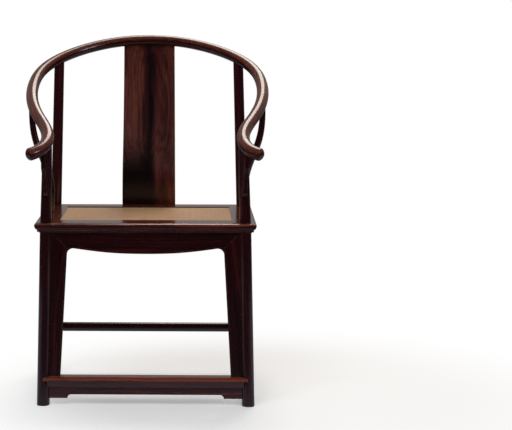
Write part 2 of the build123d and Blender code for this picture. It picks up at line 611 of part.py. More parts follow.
# ---------------------------------------------------------------- side posts
side_top = rail_at(-SIDE_POST_AT)
side_foot = Vector(HALF_WIDTH - SIDE_POST_INSET, side_top.Y, SEAT_HEIGHT)
side_path = Edge.make_spline([Vector(between(side_foot.X, side_top.X, x), side_top.Y,
                                     between(side_foot.Z, side_top.Z, z))
                              for z, x in SIDE_POST_CURVE])
side_rings = []
ring_count = ceil(side_path.length / SIDE_POST_STEP)
for i in range(ring_count + 1):
    share = i / ring_count
    square_to = Vector(0, 0, 1) if i in (0, ring_count) else side_path.tangent_at(share)
    dia = between(SIDE_POST_FOOT_DIA, SIDE_POST_TOP_DIA, share)
    side_rings.append(Plane(origin=side_path.position_at(share), x_dir=(0, 1, 0),
                            z_dir=square_to) * Circle(dia / 2))
side_foot_tenon = Pos(side_foot.X, side_foot.Y, SEAT_HEIGHT - SIDE_POST_TENON / 2) \
    * Cylinder(SIDE_POST_TENON_DIA / 2, SIDE_POST_TENON)
side_top_tenon = Pos(side_top.X, side_top.Y, side_top.Z - SIDE_POST_TENON / 2) \
    * Cylinder(SIDE_POST_TENON_DIA / 2, SIDE_POST_TENON)
side_post = (loft(side_rings) - arm_rail) + side_foot_tenon + side_top_tenon
seat_side = seat_side - side_foot_tenon

# ---------------------------------------------------------------- splat
splat_foot = Vector(0, HALF_DEPTH - SPLAT_FOOT_INSET, SEAT_HEIGHT)
splat_top = Vector(0, RAIL_BACK + SPLAT_TOP_SETBACK, RAIL_BACK_HEIGHT)
splat_line = Edge.make_spline([Vector(0, between(splat_foot.Y, splat_top.Y, y),
                                      between(splat_foot.Z, splat_top.Z, z))
                               for z, y in SPLAT_CURVE])


def board_face(thick):
    """Side view of the curved board: its centreline moved half its thickness either way."""
    stations = [i / 10 for i in range(11)]
    sides = []
    for side in (1, -1):
        points = []
        for u in stations:
            p, t = splat_line.position_at(u), splat_line.tangent_at(u)
            points.append(Vector(p.Y - side * t.Z * thick / 2, p.Z + side * t.Y * thick / 2))
        sides.append(points)
    front, back = sides
    outline = [Spline(*front), Line(front[-1], back[-1]), Spline(*back), Line(back[0], front[0])]
    return Plane.YZ * make_face([line.edges() for line in outline])


half_foot, half_top = SPLAT_WIDTH_FOOT / 2, SPLAT_WIDTH_TOP / 2
splat_front_view = Plane.XZ * make_face(Polyline(
    (-half_foot, SEAT_HEIGHT - SPLAT_TONGUE_DEPTH), (half_foot, SEAT_HEIGHT - SPLAT_TONGUE_DEPTH),
    (half_top, RAIL_BACK_HEIGHT), (-half_top, RAIL_BACK_HEIGHT), close=True).edges())
splat_block = extrude(splat_front_view, amount=-SPAN)
splat_board = extrude(board_face(SPLAT_THICK), amount=SPLAT_WIDTH_FOOT, both=True) & splat_block
above_seat = Pos(0, 0, SEAT_HEIGHT + SPAN / 2) * Box(SPAN, SPAN, SPAN)
splat_board = (splat_board & above_seat) - crest_centre
top_tongue = extrude(board_face(SPLAT_TONGUE), amount=SPLAT_WIDTH_FOOT, both=True) & splat_block
tongue_low = RAIL_BACK_HEIGHT - 2 * SPLAT_TONGUE_DEPTH
top_tongue = top_tongue & (Pos(0, 0, tongue_low + SPAN / 2) * Box(SPAN, SPAN, SPAN))
foot_tongue = Pos(0, splat_foot.Y, SEAT_HEIGHT - SPLAT_TONGUE_DEPTH / 2) \
    * Box(SPLAT_WIDTH_FOOT - 2 * SPLAT_TONGUE, SPLAT_TONGUE, SPLAT_TONGUE_DEPTH)
splat = splat_board + top_tongue + foot_tongue
crest_centre = crest_centre - top_tongue
seat_back = seat_back - foot_tongue

# ---------------------------------------------------------------- grip spandrels
heading = Vector(0, -1, 0).rotate(Axis.Z, SPANDREL_TURN)
spandrel_plane = Plane(origin=FRONT_TOP, x_dir=heading, z_dir=heading.cross(Vector(0, 0, 1)))


def post_lean(below):
    """How far the front post's axis stands forward of its top, some way below it."""
    share = 1 - below / (FRONT_TOP.Z - SEAT_HEIGHT)
    return (front_post_centre(share) - FRONT_TOP).dot(heading)


front_edge = [(post_lean(SPANDREL_HEIGHT * y) + between(SPANDREL_REACH_TOP, SPANDREL_REACH_FOOT, x),
               -SPANDREL_HEIGHT * y) for y, x in SPANDREL_CURVE]
back_foot = post_lean(SPANDREL_HEIGHT)
heel = front_edge[-1]
drop = SPANDREL_HEIGHT + heel[1]
sole = heel[0] - SPANDREL_ROUND
spandrel_outline = [
    Polyline((0, 0), (front_edge[0][0], 0), front_edge[0]),
    Spline(*front_edge),
    ThreePointArc(heel, (heel[0] - SPANDREL_ROUND * QUARTER, drop * QUARTER - SPANDREL_HEIGHT),
                  (sole, -SPANDREL_HEIGHT)),
    Polyline((sole, -SPANDREL_HEIGHT), (back_foot, -SPANDREL_HEIGHT), (0, 0))]
spandrel = slab(spandrel_plane, spandrel_outline, SPANDREL_THICK) - UPPER_HALF
spandrel = spandrel - arm_rail - front_post

# Rail mortises last, so that every member above was trimmed to the whole rail
arm_rail = arm_rail - front_tenon - side_top_tenon
crest_shoulder = crest_shoulder - rear_tenon

# ---------------------------------------------------------------- the finished pieces
parts["crest_rail_centre"] = crest_centre
add_pair("crest_rail_shoulder", crest_shoulder)
add_pair("arm_rail", arm_rail)
parts["rail_joint_wedges"] = Compound([solid for wedge in (inner_wedge, outer_wedge)
                                       for piece in (wedge, mirrored(wedge))
                                       for solid in piece.solids()])
parts["back_splat"] = splat
add_pair("side_post", side_post)
add_pair("grip_spandrel", spandrel)
add_pair("front_leg", front_leg)
add_pair("rear_leg", rear_leg)
parts["seat_rail_front"] = seat_front
parts["seat_rail_back"] = seat_back
add_pair("seat_rail", seat_side)
parts["front_apron"] = front_apron
parts["front_apron_upright_left"] = front_upright_l
parts["front_apron_upright_right"] = front_upright_r
add_pair("side_apron", side_apron)
add_pair("side_apron_upright_front", side_upright_f)
add_pair("side_apron_upright_rear", side_upright_b)
parts["rear_apron"] = rear_apron
parts["footrest"] = footrest
parts["footrest_apron"] = foot_low_apron
add_pair("side_stretcher", side_stretcher)
add_pair("side_stretcher_apron", side_low_apron)
parts["back_stretcher"] = back_stretcher

# The middle of the whole chair, front to back, goes to the origin
chair_back = crest_centre.bounding_box().max.Y
chair_front = arm_rail.bounding_box().min.Y
to_middle = Pos(0, -(chair_back + chair_front) / 2, 0)

for name, shape in parts.items():
    export_step(to_middle * shape, f"parts/{name}.step")
print(len(parts), "parts written")
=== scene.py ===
import bpy
import numpy as np
from mathutils import Matrix, Vector


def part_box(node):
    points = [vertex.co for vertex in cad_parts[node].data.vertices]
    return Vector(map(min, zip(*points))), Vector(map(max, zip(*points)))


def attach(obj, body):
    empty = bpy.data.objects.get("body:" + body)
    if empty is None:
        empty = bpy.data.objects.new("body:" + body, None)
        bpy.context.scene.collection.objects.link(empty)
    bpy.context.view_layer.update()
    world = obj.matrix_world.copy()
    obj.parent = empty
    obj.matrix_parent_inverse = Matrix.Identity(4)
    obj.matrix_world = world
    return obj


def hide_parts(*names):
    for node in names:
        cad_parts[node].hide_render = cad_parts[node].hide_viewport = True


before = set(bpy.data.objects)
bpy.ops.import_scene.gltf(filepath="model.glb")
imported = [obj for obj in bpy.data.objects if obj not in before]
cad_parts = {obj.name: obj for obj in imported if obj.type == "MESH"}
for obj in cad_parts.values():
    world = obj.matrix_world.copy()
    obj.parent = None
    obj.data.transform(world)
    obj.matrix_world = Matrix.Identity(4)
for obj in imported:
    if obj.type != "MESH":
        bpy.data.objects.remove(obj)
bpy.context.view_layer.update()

bl_info = {
    "name": "Horseshoe back armchair",
    "version": (1, 0, 0),
    "blender": (4, 5, 0),
    "location": "View3D > Sidebar > Armchair",
    "description": "Finishes, cane seat and studio for a joined hardwood armchair",
    "category": "Object",
}

PICTURE_WIDTH, PICTURE_HEIGHT = 512, 430   # pixels
SENSOR = 36.0                              # mm, along the picture's width
WHITE = (1.0, 1.0, 1.0, 1.0)
SHARP = 0.6                                # radians between faces that meet in a hard edge

# members whose upper faces are browner: partly rubbed by hands, feet and cloth, partly painted
# light from above
RUBBED_AND_TOP_LIT = ("crest_rail", "arm_rail", "mat_strip", "footrest_apron")
# where the browner tone of rubbing and painted light from above starts on those members, and on
# the pieces that are moulded here, as the upward part of a face's normal plus half the streak
# noise
RUBBED_AND_TOP_LIT_REACH, MOULDED_TOP_LIT_REACH = 0.17, 0.0
# timber that is lighter or darker than the rest, by the start of a member's name; the front
# apron's darker tone is painted shade under the seat
TONE_AND_SHADE_SCALES = {"rear_leg": 1.7, "side_post": 1.3, "back_stretcher": 1.3, "front_apron": 0.85,
         "footrest_apron": 1.8}
# the footrest's tone is doubled as painted light: light from above on its tread, the floor's
# reflection on its bar
FOOTREST_LIGHT_SCALE = 2.0
# numbers of the places in the log that the four mouldings and the footrest come from
MOULDING_NUMBER, FOOTREST_NUMBER = 40, 50


def linear(code):
    """An sRGB hex colour in linear light.

    Each channel c of 0 to 1 becomes c / 12.92 up to 0.04045 and ((c + 0.055) / 1.055) to the
    power 2.4 above it.
    """
    c = np.array([int(code[i:i + 2], 16) for i in (1, 3, 5)]) / 255
    return (*np.where(c <= 0.04045, c / 12.92, ((c + 0.055) / 1.055) ** 2.4), 1.0)


def colour(name, description, code):
    """A setting for a colour, from its sRGB hex value."""
    return bpy.props.FloatVectorProperty(name=name, description=description, subtype="COLOR",
                                         size=4, min=0.0, max=1.0, default=linear(code))


def length(name, description, metres):
    """A setting for a length."""
    return bpy.props.FloatProperty(name=name, description=description, unit="LENGTH",
                                   min=0.0, default=metres)


def level(name, description, amount, subtype="NONE"):
    """A setting for an amount of light."""
    return bpy.props.FloatProperty(name=name, description=description, subtype=subtype,
                                   min=0.0, default=amount)


class WoodSettings(bpy.types.PropertyGroup):
    """Colours and figure of the waxed rosewood, and sizes of its mouldings."""

    vein: colour("Vein", "Dark lines between the growth bands", "#120205")
    heart: colour("Heart", "Body of the dark heartwood", "#28060a")
    light: colour("Light band", "Lighter growth bands", "#480f11")
    # the rubbed colours go on upward faces: partly rubbed wear, partly painted light from above
    rubbed_lit_vein: colour("Rubbed vein", "Dark lines where the wood is rubbed", "#2a100b")
    rubbed_lit_heart: colour("Rubbed heart", "Body of the rubbed wood", "#5c2a1d")
    rubbed_lit_band: colour("Rubbed light band", "Lighter bands of the rubbed wood", "#82452f")
    worn: colour("Worn edge", "Where hands and cloth have thinned the finish", "#8a5443")
    splat_heart: colour("Splat heart", "Near-black heart of the figured board", "#100405")
    splat_red: colour("Splat red", "Dark red ground of the figured board", "#3c0b0d")
    splat_brown: colour("Splat brown", "Brown wood along the board's edge", "#6b2f22")
    band: length("Growth band", "Width of a growth band", 0.009)
    streak: length("Streak", "Width of a fine streak", 0.0032)
    pore: length("Pore line", "Width of a line of open pores", 0.0014)
    rounding: length("Edge rounding", "How far wear reaches in from an edge", 0.0022)
    fall: length("Moulding fall", "How far in the seat frame's top starts to round over", 0.017)
    swell: length("Moulding swell", "Top of the seat frame to the widest line of its edge", 0.0048)
    foot: length("Moulding foot", "How far the seat frame's edge runs back at its foot", 0.0068)
    tread: length("Tread", "Thickness of the footrest's tread", 0.0105)


class SeatSettings(bpy.types.PropertyGroup):
    """Sizes and colours of the cane mat and the net of palm fibre cords under it."""

    sag: length("Sag", "How far the middle of the seat has sunk", 0.005)
    strand: length("Strand", "Spacing of the split cane strands", 0.0030)
    cane_light: colour("Cane light", "Face of the split cane", "#cfa67f")
    # the dark cane colour is both real darkening of the cane and painted shade between the strands
    cane_dark_and_gap_shade: colour("Cane dark", "Between the strands and where they have darkened", "#80593b")
    net: length("Net spacing", "Distance between the cords of the net", 0.016)
    cord: length("Net cord", "Thickness of a cord of the net", 0.0015)
    fibre: colour("Palm fibre", "Twisted palm fibre", "#5c4028")


class StudioSettings(bpy.types.PropertyGroup):
    """Levels and colours of the studio."""

    floor: colour("Floor", "Pale paper floor", "#f2f4f6")
    cool: colour("Cool white", "What gloss picks up from the floor and the side lamp", "#dfe4f5")
    warm: colour("Warm white", "The high softbox", "#fff3e6")
    lift: level("Lift", "White added to the floor in view", 0.30)
    ambient: level("Ambient", "Even light from all round", 0.24)
    overhead: level("Overhead", "Power of the high softbox", 58.0, "POWER")
    fill: level("Fill", "Power of the soft front light", 40.0, "POWER")
    strip: level("Side lamp", "Power of the small lamp at the right", 8.0, "POWER")


# ---------------------------------------------------------------- materials

def add(tree, kind, inputs=(), stops=(), **settings):
    """Adds a node with its settings and links.

    Inputs are a tuple in the order of the node's sockets, or a dict by their names. Each is a
    value, a socket, or a node, which stands for its first output. Stops are a ramp's positions
    and colours.
    """
    node = tree.nodes.new("ShaderNode" + kind)
    for name, value in settings.items():
        setattr(node, name, value)
    used = [socket for socket in node.inputs if socket.enabled]
    for key, value in inputs.items() if isinstance(inputs, dict) else enumerate(inputs):
        socket = node.inputs[key] if isinstance(key, str) else used[key]
        if isinstance(value, bpy.types.Node):
            value = next(output for output in value.outputs if output.enabled)
        if isinstance(value, bpy.types.NodeSocket):
            tree.links.new(value, socket)
        else:
            socket.default_value = value
    if stops:
        elements = node.color_ramp.elements
        elements[0].position, elements[0].color = stops[0]
        elements[-1].position, elements[-1].color = stops[-1]
        for position, value in stops[1:-1]:
            elements.new(position).color = value
    return node


def new_material(name):
    """An empty material and its node tree."""
    material = bpy.data.materials.new(name)
    material.use_nodes = True
    material.node_tree.nodes.clear()
    return material, material.node_tree


def grain_frame(points):
    """Rotation whose first column is the long axis of a piece.

    The long axis is the first principal direction of the piece's points, made to point up or to
    the right. The second column is square to it and as level as it can be.
    """
    centred = points - points.mean(0)
    along = np.linalg.svd(centred, full_matrices=False)[2][0]
    along = along * (1 if along[np.argmax(np.abs(along))] > 0 else -1)
    helper = np.array([0.0, 1.0, 0.0]) if abs(along[1]) < 0.8 else np.array([1.0, 0.0, 0.0])
    side = np.cross(helper, along)
    side = side / np.linalg.norm(side)
    return np.stack([along, side, np.cross(along, side)], axis=1)


def grain_place(tree, points, shift):
    """Object coordinates turned so that X runs along the grain, in metres.

    The origin is the pith of the log that the piece was sawn from, shifted from the piece's
    middle by the given lengths along, across and through the grain.
    """
    turn = grain_frame(points)
    pith = (points.min(0) + points.max(0)) / 2 + turn @ np.array(shift)
    place = add(tree, "TexCoord").outputs["Object"]
    return add(tree, "Mapping", {"Vector": place, "Location": pith,
                                 "Rotation": Matrix(turn.tolist()).to_euler()},
               vector_type="TEXTURE")


def drawn_out(tree, place, along, across, detail=2.0, roughness=0.5):
    """Noise whose patches are so long along the grain and so wide across it, in metres."""
    scaled = add(tree, "Mapping", {"Vector": place, "Scale": (1 / along, 1 / across, 1 / across)})
    return add(tree, "TexNoise", {"Vector": scaled, "Scale": 1.0, "Detail": detail,
                                  "Roughness": roughness})


def growth(tree, place, s, wander):
    """Shade of the growth bands, from 0 to 1 round one half, and the fine streaks in them.

    A band's shade is noise of the distance from the pith divided by the band's width, the
    distance being bent by a long slow noise, so the bands wander as growth rings do. Streaks
    are noise drawn out along the grain. The shade is half the bands, a third of the streaks and
    a sixth of a cloudy noise.
    """
    bend = drawn_out(tree, place, 0.34, 0.045, detail=3.0)
    flat = add(tree, "VectorMath", (place, (0.0, 1.0, 1.0)), operation="MULTIPLY")
    radius = add(tree, "VectorMath", (flat,), operation="LENGTH")
    bent = add(tree, "Math", (bend, wander, radius), operation="MULTIPLY_ADD")
    rings = add(tree, "Math", (bent, s.band), operation="DIVIDE")
    bands = add(tree, "TexNoise", {"W": rings, "Scale": 1.0, "Detail": 4.0, "Roughness": 0.62},
                noise_dimensions="1D")
    streaks = drawn_out(tree, place, 0.11, s.streak, detail=3.0, roughness=0.6)
    clouds = drawn_out(tree, place, 0.30, 0.05, detail=1.0)
    slow = add(tree, "Math", (clouds, 0.18), operation="MULTIPLY")
    fine = add(tree, "Math", (streaks, 0.32, slow), operation="MULTIPLY_ADD")
    return add(tree, "Math", (bands, 0.5, fine), operation="MULTIPLY_ADD"), streaks


def rubbed_and_top_lit(tree, streaks, reach):
    """How far a face takes the browner tone, partly rubbed wear and partly painted light from
    above:
    0 where it looks down, 1 where it looks up, with a ragged border along the grain. It follows
    the upward part of the surface's normal plus half the streaks, from the reach to a little under
    half above it, so a lower reach takes the browner tone further down a side."""
    border = 0.47
    upward = add(tree, "SeparateXYZ", (add(tree, "NewGeometry").outputs["Normal"],)).outputs["Z"]
    ragged = add(tree, "Math", (streaks, 0.5, upward), operation="MULTIPLY_ADD")
    return add(tree, "MapRange", (ragged, reach, reach + border),
               interpolation_type="SMOOTHSTEP")


def waxed(tree, place, tone, streaks, s, coat=0.3, dullness=0.15):
    """The finish over a wood's tone: open pores, thinned edges, and wax rubbed to a soft gloss.

    Pores are noise drawn out along the grain, three times as wide as real ones, which would be
    too fine to see. An edge is where the normal of the face turns away from the normal of the
    same face with its edges rounded, by the cosine between them. The gloss is duller in the
    pores, and the streaks stand up a little between them.
    """
    pores = drawn_out(tree, place, 0.016, s.pore, detail=1.0)
    open_pore = add(tree, "MapRange", (pores, 0.60, 0.70))
    filled = add(tree, "Math", (open_pore, 0.5), operation="MULTIPLY")
    tone = add(tree, "Mix", (filled, tone, s.vein), data_type="RGBA")
    rounded = add(tree, "Bevel", {"Radius": s.rounding}, samples=6)
    level_face = add(tree, "NewGeometry").outputs["Normal"]
    cosine = add(tree, "VectorMath", (rounded, level_face), operation="DOT_PRODUCT")
    turned = add(tree, "MapRange", (cosine, 0.995, 0.80, 0.0, 0.45))
    patchy = add(tree, "MapRange", (streaks, 0.35, 0.60))
    edge = add(tree, "Math", (turned, patchy), operation="MULTIPLY")
    tone = add(tree, "Mix", (edge, tone, s.worn), data_type="RGBA")
    dull = add(tree, "Math", (streaks, 0.06, dullness), operation="MULTIPLY_ADD")
    rough = add(tree, "Math", (open_pore, 0.16, dull), operation="MULTIPLY_ADD")
    ridges = add(tree, "Math", (streaks, 0.4), operation="MULTIPLY")
    relief = add(tree, "Math", (open_pore, -0.6, ridges), operation="MULTIPLY_ADD")
    bump = add(tree, "Bump", {"Strength": 0.13, "Distance": 0.0003, "Height": relief})
    surface = add(tree, "BsdfPrincipled", {
        "Base Color": tone, "Roughness": rough, "IOR": 1.5, "Normal": bump,
        "Coat Weight": coat, "Coat Roughness": 0.08, "Coat IOR": 1.45})
    add(tree, "OutputMaterial", {"Surface": surface})


def rosewood(name, points, number, s, reach=None, strength=1.0):
    """Sawn, scraped and waxed rosewood: narrow dark bands, fine streaks and open pore lines.

    Each piece is sawn from another place of the log, by its number. A piece with a reach is
    browner on its upper faces, partly rubbed wear and partly painted light from above, and the
    strength scales its tone.
    """
    material, tree = new_material(name)
    spot = np.random.default_rng(number)
    shift = (spot.uniform(-2, 2), spot.uniform(0.02, 0.06), spot.uniform(0.02, 0.06))
    place = grain_place(tree, points, shift)
    shade, streaks = growth(tree, place, s, 0.024)
    tone = add(tree, "ValToRGB", (shade,), [(0.38, s.vein), (0.47, s.heart), (0.54, s.heart),
                                            (0.64, s.light)])
    if reach is not None:
        # a browner copy of the ramp for upward faces: partly rubbed wear, partly painted light
        # from above
        brown = add(tree, "ValToRGB", (shade,), [(0.38, s.rubbed_lit_vein), (0.46, s.rubbed_lit_heart),
                                                 (0.53, s.rubbed_lit_heart), (0.62, s.rubbed_lit_band)])
        tone = add(tree, "Mix", (rubbed_and_top_lit(tree, streaks, reach), tone, brown), data_type="RGBA")
    tone = add(tree, "VectorMath", (tone, strength), operation="SCALE")
    waxed(tree, place, tone, streaks, s)
    return material


def figured_rosewood(name, points, s):
    """The splat's board, sawn through the heart of a wide log.

    Brown wood along the left edge, a dark middle and a red right side, and a near-black patch
    that widens towards the lower left. Across the board the tone follows a ramp over X, bent by
    the grain's own slow noise, and the growth bands darken and lighten it.
    """
    material, tree = new_material(name)
    low, high = points.min(0), points.max(0)
    place = grain_place(tree, points, (0.0, 0.012, 0.03))
    shade, streaks = growth(tree, place, s, 0.056)
    axes = add(tree, "SeparateXYZ", (add(tree, "TexCoord").outputs["Object"],))
    bend = drawn_out(tree, place, 0.30, 0.045)
    # the noise is one half on average, so the bend moves X by 0.05 on average
    wander = 0.10
    across = add(tree, "Math", (bend, wander, axes.outputs["X"]), operation="MULTIPLY_ADD")
    share = add(tree, "MapRange", (across, low[0] + wander / 2, high[0] + wander / 2))
    sides = add(tree, "ValToRGB", (share,), [(0.0, s.splat_brown), (0.24, s.splat_brown),
                                             (0.38, s.splat_red), (0.54, s.splat_heart),
                                             (0.66, s.splat_red), (0.95, s.splat_brown)])
    height = add(tree, "MapRange", (axes.outputs["Z"], low[2], high[2]))
    lower = add(tree, "MapRange", (height, 0.50, 0.20), interpolation_type="SMOOTHSTEP")
    left = add(tree, "MapRange", (share, 0.95, 0.50), interpolation_type="SMOOTHSTEP")
    heart = add(tree, "Math", (lower, left), operation="MULTIPLY")
    tone = add(tree, "Mix", (heart, sides, s.splat_heart), data_type="RGBA")
    strength = add(tree, "MapRange", (shade, 0.40, 0.62, 0.35, 1.40))
    tone = add(tree, "VectorMath", (tone, strength), operation="SCALE")
    waxed(tree, place, tone, streaks, s, coat=0.05, dullness=0.30)
    return material


def split_cane(name, s):
    """Split cane in a two over two under weave: rounded satin strands, with painted shade in the
    gaps between them.

    A strand's height is a power of the sine across it. The strand along X shows where the sum
    of the two strand numbers, modulo four, is under two, and the strand along Y elsewhere.
    Strands are drawn twice as wide as real ones, which would be too fine to see. Stains are
    about 70 mm across.
    """
    material, tree = new_material(name)
    place = add(tree, "TexCoord").outputs["Object"]
    axes = add(tree, "SeparateXYZ", (place,)).outputs
    humps, counts = [], []
    for axis in (axes["X"], axes["Y"]):
        number = add(tree, "Math", (axis, s.strand), operation="DIVIDE")
        turn = add(tree, "Math", (number, np.pi), operation="MULTIPLY")
        wave = add(tree, "Math", (turn,), operation="SINE")
        size = add(tree, "Math", (wave,), operation="ABSOLUTE")
        humps.append(add(tree, "Math", (size, 0.8), operation="POWER"))
        counts.append(add(tree, "Math", (number,), operation="FLOOR"))
    both = add(tree, "Math", (counts[0], counts[1]), operation="ADD")
    step = add(tree, "Math", (both, 4.0), operation="FLOORED_MODULO")
    weft = add(tree, "Math", (step, 1.5), operation="LESS_THAN")
    height = add(tree, "Mix", (weft, humps[0], humps[1]))
    # strands along the other axis are numbered far from the first, so their shades differ
    other = add(tree, "Math", (counts[1], 977.0), operation="ADD")
    strand_number = add(tree, "Mix", (weft, counts[0], other))
    strand_shade = add(tree, "TexWhiteNoise", (strand_number,), noise_dimensions="1D")
    stains = add(tree, "TexNoise", {"Vector": place, "Scale": 14.0, "Detail": 3.0})
    stained = add(tree, "Math", (stains, 0.35), operation="MULTIPLY")
    shaded = add(tree, "Math", (strand_shade, 0.22, stained), operation="MULTIPLY_ADD")
    # the low parts of the weave, between the strands, are painted shade
    tint_with_gap_shade = add(tree, "Math", (height, 0.62, shaded), operation="MULTIPLY_ADD")
    tone = add(tree, "ValToRGB", (tint_with_gap_shade,), [(0.15, s.cane_dark_and_gap_shade), (0.85, s.cane_light)])
    bump = add(tree, "Bump", {"Strength": 0.5, "Distance": s.strand / 5, "Height": height})
    surface = add(tree, "BsdfPrincipled", {"Base Color": tone, "Roughness": 0.55, "IOR": 1.48,
                                           "Normal": bump})
    add(tree, "OutputMaterial", {"Surface": surface})
    return material


def palm_fibre(name, s):
    """Twisted palm fibre: dull brown, rough, with fine dark hairs about 1 mm apart."""
    material, tree = new_material(name)
    place = add(tree, "TexCoord").outputs["Object"]
    hairs = add(tree, "TexNoise", {"Vector": place, "Scale": 900.0, "Detail": 2.0})
    shadow = 0.35
    dark = tuple(shadow * c for c in s.fibre[:3]) + (1.0,)
    tone = add(tree, "ValToRGB", (hairs,), [(0.35, dark), (0.65, s.fibre)])
    bump = add(tree, "Bump", {"Strength": 0.6, "Distance": 0.0004, "Height": hairs})
    surface = add(tree, "BsdfPrincipled", {"Base Color": tone, "Roughness": 0.85, "Normal": bump})
    add(tree, "OutputMaterial", {"Surface": surface})
    return material


def pale_paper(name, s):
    """Matt paper whose white fades in from beside the chair in the camera's view, so that only
    the chair's own shadow is darker. Gloss sees it pale beside and under the chair, and dark
    round the stand in front of it. Both follow the distance from a point of the floor."""
    beside, stand = (0.35, -0.10, 0.0), (0.0, -2.0, 0.0)
    material, tree = new_material(name)
    path = add(tree, "LightPath").outputs
    place = add(tree, "NewGeometry").outputs["Position"]
    distance = add(tree, "VectorMath", (place, beside), operation="DISTANCE")
    far = add(tree, "MapRange", (distance, 0.42, 1.0), interpolation_type="SMOOTHSTEP")
    lit = add(tree, "BsdfDiffuse", {"Color": s.floor})
    lift_here = add(tree, "Math", (path["Is Camera Ray"], s.lift), operation="MULTIPLY")
    lift = add(tree, "Emission", {"Color": WHITE, "Strength": lift_here})
    near = add(tree, "AddShader", (lit, lift))
    bare = add(tree, "Emission", {"Color": WHITE, "Strength": 1.0})
    bare_here = add(tree, "Math", (far, path["Is Camera Ray"]), operation="MULTIPLY")
    seen = add(tree, "MixShader", (bare_here, near, bare))
    from_stand = add(tree, "VectorMath", (place, stand), operation="DISTANCE")
    mirrored = add(tree, "MapRange", (from_stand, 1.2, 2.0, 0.06, 0.50),
                   interpolation_type="SMOOTHSTEP")
    sheen = add(tree, "Emission", {"Color": s.cool, "Strength": mirrored})
    mirror_ray = add(tree, "Math", (path["Is Glossy Ray"], path["Is Transmission Ray"]),
                     operation="MAXIMUM")
    surface = add(tree, "MixShader", (mirror_ray, seen, sheen))
    add(tree, "OutputMaterial", {"Surface": surface})
    return material


# ---------------------------------------------------------------- meshes

def mesh_points(node):
    """All points of a node's mesh as an array of rows."""
    points = np.zeros(len(node.data.vertices) * 3)
    node.data.vertices.foreach_get("co", points)
    return points.reshape(-1, 3)


def new_piece(name, points, faces, material, node, edge=np.pi):
    """A mesh object at the origin that rides on the chair and stands for a node.

    It is shaded smooth, apart from edges where two faces meet at more than the edge angle.
    """
    mesh = bpy.data.meshes.new(name)
    mesh.from_pydata(points.reshape(-1, 3).tolist(), [], faces)
    mesh.polygons.foreach_set("use_smooth", np.ones(len(mesh.polygons), bool))
    mesh.set_sharp_from_angle(angle=edge)
    mesh.materials.append(material)
    mesh.update()
    piece = bpy.data.objects.new(name, mesh)
    bpy.context.scene.collection.objects.link(piece)
    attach(piece, "root")
    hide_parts(node)
    return piece


def grid_faces(rows, columns, wrap=False):
    """Quads of a grid of points stored row by row; wrap joins the last column to the first."""
    i, j = np.meshgrid(np.arange(rows - 1), np.arange(columns if wrap else columns - 1),
                       indexing="ij")
    k = (j + 1) % columns
    return np.stack([i * columns + j, i * columns + k, (i + 1) * columns + k,
                     (i + 1) * columns + j], axis=-1).reshape(-1, 4).tolist()


def ellipse(centre, across, up, start, end, count):
    """Points of part of an ellipse: its centre plus the half sizes times the cosine and the
    sine of angles that go from start to end, in degrees, in equal steps."""
    angle = np.radians(np.linspace(start, end, count))
    return np.array(centre) + np.stack([across * np.cos(angle), up * np.sin(angle)], axis=-1)


def moulding(s):
    """Section of the seat frame: rows of (inset along X, inset along Y, height).

    From the rabbet the top runs level, falls over a quarter ellipse to the widest line, runs
    back under over part of a second ellipse, ends in a low rounded bead, and steps back to the
    underside. The rabbet and the inner edge have their own inset on each side.
    """
    outer, side_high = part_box("seat_rail_left")
    front_high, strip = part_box("seat_rail_front")[1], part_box("mat_strip_front")[0]
    wall = (strip.x - outer.x, strip.y - outer.y)
    inner = (side_high.x - outer.x, front_high.y - outer.y)
    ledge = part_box("seat_webbing")[0].z
    under, top = outer.z, front_high.z
    edge = 0.001               # inset of the widest line from the frame's box
    lower = (0.009, 0.014)     # half sizes of the lower ellipse
    sweep = 72                 # degrees of it that the section follows
    drop = 0.0005              # from its end to the top of the bead
    bead = (0.0012, 0.0029)    # how far the bead stands out, and half its height
    setback = 0.013            # inset of the underside's edge
    widest = top - s.swell
    fall = ellipse((edge + s.fall, widest), s.fall, s.swell, 90, 180, 11)
    back = ellipse((edge + lower[0], widest), *lower, 180, 180 + sweep, 9)[1:]
    groove = (edge + s.foot + bead[0], back[-1][1] - drop)
    round_bead = ellipse((groove[0], groove[1] - bead[1]), *bead, 90, 270, 8)[1:]
    step = [(setback, round_bead[-1][1]), (setback, under)]
    curve = np.concatenate([fall, back, [groove], round_bead, step])
    curve = np.insert(curve, 0, curve[:, 0], axis=1)
    return np.array([(*wall, ledge), (*wall, top), *curve, (*inner, under), (*inner, ledge)])


def mitred_rail(profile, number):
    """Points and faces of one side of the seat frame, counted round from the front.

    The section stands at both corners of the side: each of its points is the corner of the
    frame's box plus the inward direction there, 1 or -1 along X and Y, times the insets. Quads
    join the two, and both ends are closed.
    """
    low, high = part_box("seat_rail_left")[0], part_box("seat_rail_right")[1]
    corners = np.array([(low.x, low.y), (high.x, low.y), (high.x, high.y), (low.x, high.y)])
    inward = np.array([(1, 1), (-1, 1), (-1, -1), (1, -1)])
    both, count = [number, (number + 1) % 4], len(profile)
    flat = corners[both][:, None] + inward[both][:, None] * profile[None, :, :2]
    height = np.broadcast_to(profile[None, :, 2:], (2, count, 1))
    points = np.concatenate([flat, height], axis=-1).reshape(-1, 3)
    ends = [list(range(count - 1, -1, -1)), list(range(count, 2 * count))]
    return points, grid_faces(2, count, wrap=True) + ends


